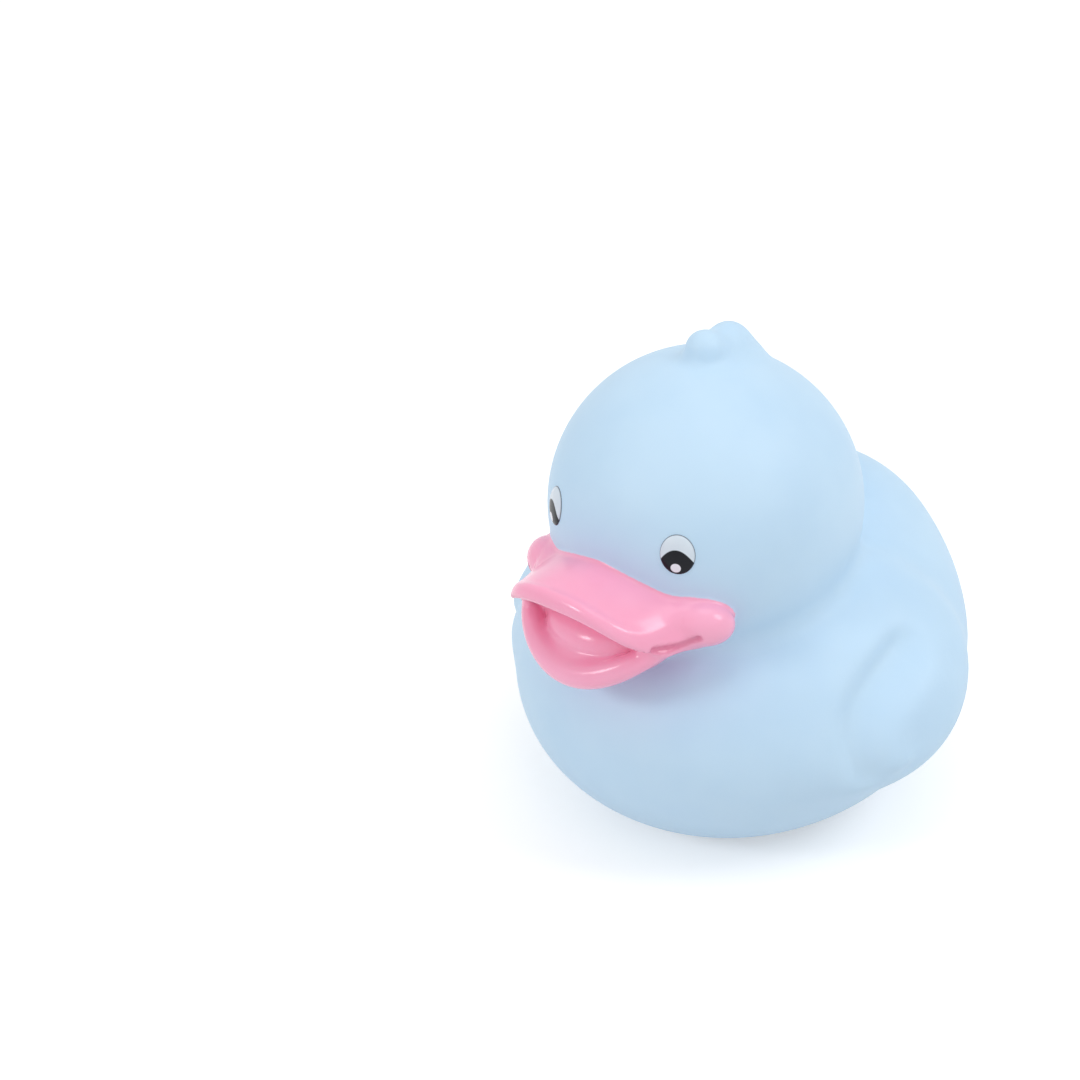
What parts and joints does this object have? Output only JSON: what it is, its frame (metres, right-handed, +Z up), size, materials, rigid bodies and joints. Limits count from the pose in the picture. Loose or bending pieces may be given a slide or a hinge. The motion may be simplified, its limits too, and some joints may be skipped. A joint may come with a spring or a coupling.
{
  "type": "vinyl duck dog toy",
  "caption": "Hollow soft vinyl duck dog toy with an open pink bill, painted eyes, a crown tuft and a squeaker plugged into its flat base",
  "frame": {"origin": "Under the middle of the duck's outline, on the plane it stands on", "axes": "+Z up; the duck faces -Y and its left side is +X"},
  "size_m": [0.0874, 0.085, 0.0856],
  "materials": {
    "blue_vinyl": "soft matte pale blue vinyl, rotationally cast",
    "pink_paint": "satin pink vinyl paint sprayed on the bill",
    "eye_white": "glossy white enamel of the eyes",
    "eye_black": "glossy black enamel of the pupils",
    "white_polythene": "moulded white polyethylene",
    "clear_polythene": "moulded natural polyethylene",
    "reed_film": "thin plastic film"
  },
  "bodies": {
    "root": {"duck_body": "blue_vinyl", "squeaker_case": "white_polythene", "reed_holder": "clear_polythene", "reed": "reed_film"}
  },
  "joints": []
}
